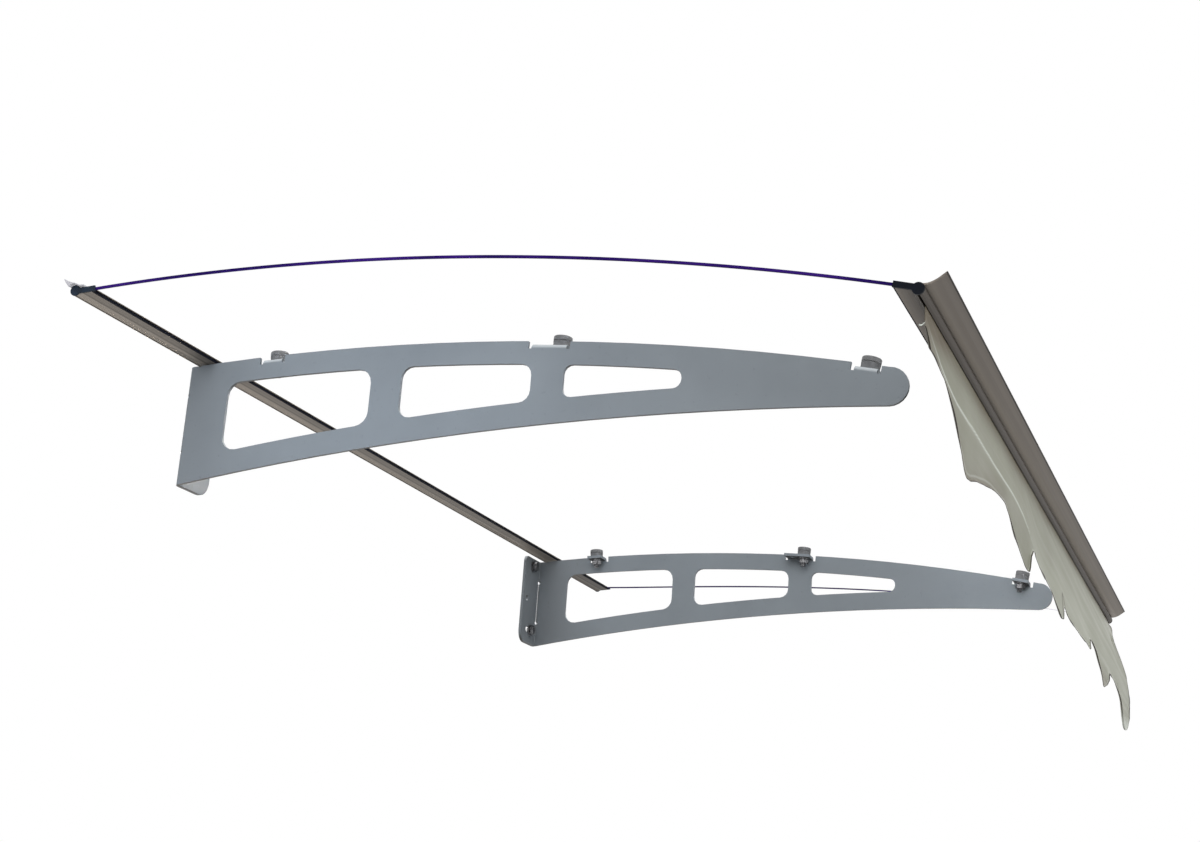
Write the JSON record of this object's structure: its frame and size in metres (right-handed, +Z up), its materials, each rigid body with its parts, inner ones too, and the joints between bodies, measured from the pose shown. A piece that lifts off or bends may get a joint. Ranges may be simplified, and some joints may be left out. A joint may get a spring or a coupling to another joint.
{
  "type": "door canopy",
  "caption": "Wall-mounted door canopy: clear arched sheet in aluminium edge profiles, on two folded brackets with windows, with a torn film hanging from the front edge.",
  "frame": {"origin": "on the wall plane, midway between the brackets, at the height where the brackets' top edges meet the wall", "axes": "+X along the wall, to the right seen from outside looking at the wall; +Y into the wall; +Z up"},
  "size_m": [1.5074, 0.9134, 0.2614],
  "materials": {
    "clear_sheet": "clear solid plastic sheet, smooth",
    "satin_aluminium": "extruded aluminium, satin anodised",
    "black_rubber": "matt black rubber",
    "pale_seal": "soft translucent plastic lip",
    "milky_film": "milky weathered film with a torn edge",
    "grey_powder_coat": "grey powder coat on steel",
    "dark_plastic": "dark moulded plastic",
    "grey_plastic": "grey moulded plastic",
    "grey_rubber": "grey rubber",
    "zinc_steel": "zinc plated steel"
  },
  "bodies": {
    "root": {"roof_sheet": "clear_sheet", "wall_profile": "satin_aluminium", "front_profile": "satin_aluminium", "wall_gasket": "black_rubber", "front_gasket": "black_rubber", "wall_seal_lip": "pale_seal", "torn_film": "milky_film", "left_bracket": "grey_powder_coat", "left_wall_end_cap": "dark_plastic", "left_front_end_cap": "dark_plastic", "left_rear_cap": "grey_plastic", "left_rear_bolt": "zinc_steel", "left_rear_spacer": "grey_rubber", "left_rear_washer": "zinc_steel", "left_rear_nut": "zinc_steel", "left_middle_cap": "grey_plastic", "left_middle_bolt": "zinc_steel", "left_middle_spacer": "grey_rubber", "left_middle_washer": "zinc_steel", "left_middle_nut": "zinc_steel", "left_front_cap": "grey_plastic", "left_front_bolt": "zinc_steel", "left_front_spacer": "grey_rubber", "left_front_washer": "zinc_steel", "left_front_nut": "zinc_steel", "left_upper_wall_screw": "zinc_steel", "left_upper_wall_washer": "zinc_steel", "left_lower_wall_screw": "zinc_steel", "left_lower_wall_washer": "zinc_steel", "right_bracket": "grey_powder_coat", "right_wall_end_cap": "dark_plastic", "right_front_end_cap": "dark_plastic", "right_rear_cap": "grey_plastic", "right_rear_bolt": "zinc_steel", "right_rear_spacer": "grey_rubber", "right_rear_washer": "zinc_steel", "right_rear_nut": "zinc_steel", "right_middle_cap": "grey_plastic", "right_middle_bolt": "zinc_steel", "right_middle_spacer": "grey_rubber", "right_middle_washer": "zinc_steel", "right_middle_nut": "zinc_steel", "right_front_cap": "grey_plastic", "right_front_bolt": "zinc_steel", "right_front_spacer": "grey_rubber", "right_front_washer": "zinc_steel", "right_front_nut": "zinc_steel", "right_upper_wall_screw": "zinc_steel", "right_upper_wall_washer": "zinc_steel", "right_lower_wall_screw": "zinc_steel", "right_lower_wall_washer": "zinc_steel"}
  },
  "joints": []
}
